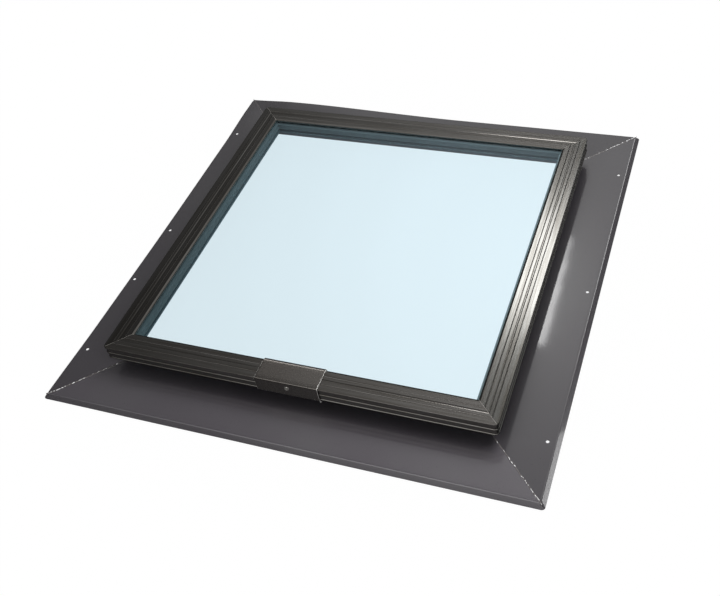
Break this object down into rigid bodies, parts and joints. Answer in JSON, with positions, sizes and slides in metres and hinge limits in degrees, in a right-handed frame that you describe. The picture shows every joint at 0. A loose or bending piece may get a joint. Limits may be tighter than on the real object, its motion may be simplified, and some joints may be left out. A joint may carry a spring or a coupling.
{
  "type": "roof skylight",
  "caption": "Square fixed roof skylight: sealed double glass under a grooved bronze metal cap and front clip, on a welded curb with wide nail-on flashing.",
  "frame": {"origin": "centre of the skylight in plan, at the height of the turned-down edge that rests on the roof", "axes": "+Z out of the roof, +Y up the slope (away from the clip), +X to the right when looking up the slope"},
  "size_m": [0.7746, 0.7746, 0.0536],
  "materials": {
    "flashing_paint": "semi-gloss dark grey coating",
    "weld_metal": "rough weld",
    "frame_bronze": "dark bronze finish",
    "cap_bronze": "satin dark bronze finish",
    "key_aluminium": "mill finish",
    "clip_bronze": "satin dark bronze finish",
    "rivet_metal": "satin",
    "screw_steel": "plain",
    "glass": "clear, pale blue-green",
    "spacer_metal": "dull",
    "edge_sealant": "matt",
    "curb_sealant": "matt",
    "gasket_rubber": "matt",
    "block_rubber": "matt"
  },
  "bodies": {
    "root": {"flashing_front": "flashing_paint", "flashing_back": "flashing_paint", "flashing_left": "flashing_paint", "flashing_right": "flashing_paint", "weld_front_left": "weld_metal", "weld_front_right": "weld_metal", "weld_back_left": "weld_metal", "weld_back_right": "weld_metal", "frame_front": "frame_bronze", "frame_back": "frame_bronze", "frame_left": "frame_bronze", "frame_right": "frame_bronze", "frame_key_front_left": "key_aluminium", "frame_key_front_right": "key_aluminium", "frame_key_back_left": "key_aluminium", "frame_key_back_right": "key_aluminium", "curb_sealant": "curb_sealant", "curb_screws": "screw_steel", "glazing_tape": "gasket_rubber", "inner_pane": "glass", "outer_pane": "glass", "spacer_bar": "spacer_metal", "edge_seal": "edge_sealant", "setting_block_left": "block_rubber", "setting_block_right": "block_rubber", "edge_block_back_left": "block_rubber", "edge_block_back_right": "block_rubber", "edge_block_left_front": "block_rubber", "edge_block_left_back": "block_rubber", "edge_block_right_front": "block_rubber", "edge_block_right_back": "block_rubber", "glazing_gasket": "gasket_rubber", "cap_front": "cap_bronze", "cap_back": "cap_bronze", "cap_left": "cap_bronze", "cap_right": "cap_bronze", "cap_key_front_left": "key_aluminium", "cap_key_front_right": "key_aluminium", "cap_key_back_left": "key_aluminium", "cap_key_back_right": "key_aluminium", "cap_screws": "screw_steel", "retainer_clip": "clip_bronze", "clip_rivet": "rivet_metal"}
  },
  "joints": []
}
